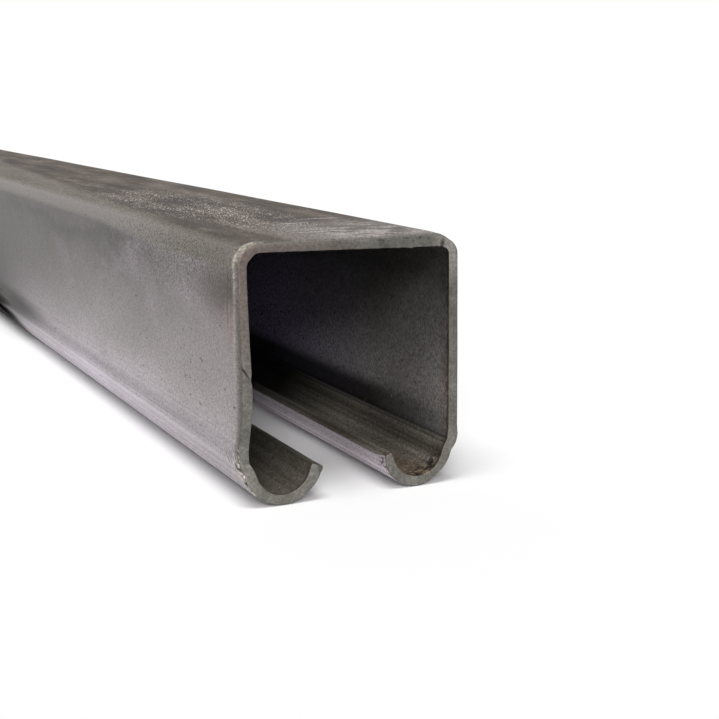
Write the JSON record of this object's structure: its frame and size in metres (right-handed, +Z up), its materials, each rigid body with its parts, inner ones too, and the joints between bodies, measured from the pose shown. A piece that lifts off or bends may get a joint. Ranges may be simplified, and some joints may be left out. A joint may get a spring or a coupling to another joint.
{
  "type": "sliding door track",
  "caption": "Straight length of bare steel sliding door track: a roll-formed box section, open below, with rounded troughs either side of a slot for the trolley wheels and hanger bolt.",
  "frame": {"origin": "middle of the length, midway between the walls, on the surface that the two troughs rest on", "axes": "+Y along the length, away from the sawn end in the picture; +Z up through the top face; +X across the width"},
  "size_m": [0.064, 2, 0.07],
  "materials": {
    "bare_steel": "bare mill finish, roll formed, with light scuffs and rust spots and a sawn end"
  },
  "bodies": {
    "root": {"track": "bare_steel"}
  },
  "joints": []
}
